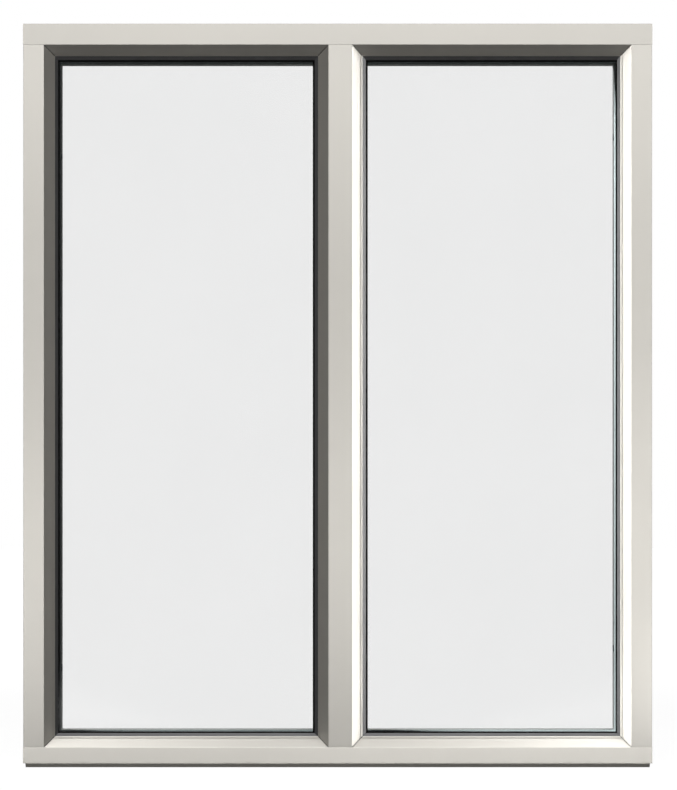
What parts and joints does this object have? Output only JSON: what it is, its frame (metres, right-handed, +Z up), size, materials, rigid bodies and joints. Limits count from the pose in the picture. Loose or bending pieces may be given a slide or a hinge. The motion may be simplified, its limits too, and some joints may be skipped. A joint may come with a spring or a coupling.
{
  "type": "fixed picture window",
  "caption": "Fixed timber picture window clad in aluminium outside, with side-by-side lights, sealed glass units and a mullion between them.",
  "frame": {"origin": "middle of the timber sill's underside, the flat face that sits on the wall opening", "axes": "+X to the right seen from outdoors, -Y outdoors, +Y indoors, +Z up"},
  "size_m": [1.0812, 0.115, 1.278],
  "materials": {
    "painted_timber": "satin paint",
    "cladding_paint": "matt powder coat",
    "clear_glass": "clear",
    "spacer_metal": "mill",
    "edge_seal": "matt",
    "gasket_rubber": "matt",
    "cap_plastic": "matt",
    "block_plastic": "matt"
  },
  "bodies": {
    "root": {"cladding_head": "cladding_paint", "cladding_left_jamb": "cladding_paint", "cladding_mullion": "cladding_paint", "cladding_right_jamb": "cladding_paint", "cladding_sill": "cladding_paint", "foot_rail": "cladding_paint", "head_end_caps": "cladding_paint", "left_edge_seals": "edge_seal", "left_fixing_caps": "cap_plastic", "left_inner_gasket": "gasket_rubber", "left_inner_pane": "clear_glass", "left_inner_spacer": "spacer_metal", "left_light_bottom_gasket": "gasket_rubber", "left_light_left_gasket": "gasket_rubber", "left_light_right_gasket": "gasket_rubber", "left_light_top_gasket": "gasket_rubber", "left_middle_pane": "clear_glass", "left_outer_pane": "clear_glass", "left_outer_spacer": "spacer_metal", "left_setting_blocks": "block_plastic", "right_edge_seals": "edge_seal", "right_fixing_caps": "cap_plastic", "right_inner_gasket": "gasket_rubber", "right_inner_pane": "clear_glass", "right_inner_spacer": "spacer_metal", "right_light_bottom_gasket": "gasket_rubber", "right_light_left_gasket": "gasket_rubber", "right_light_right_gasket": "gasket_rubber", "right_light_top_gasket": "gasket_rubber", "right_middle_pane": "clear_glass", "right_outer_pane": "clear_glass", "right_outer_spacer": "spacer_metal", "right_setting_blocks": "block_plastic", "sill_end_caps": "cladding_paint", "timber_head": "painted_timber", "timber_left_jamb": "painted_timber", "timber_mullion": "painted_timber", "timber_right_jamb": "painted_timber", "timber_sill": "painted_timber"}
  },
  "joints": []
}
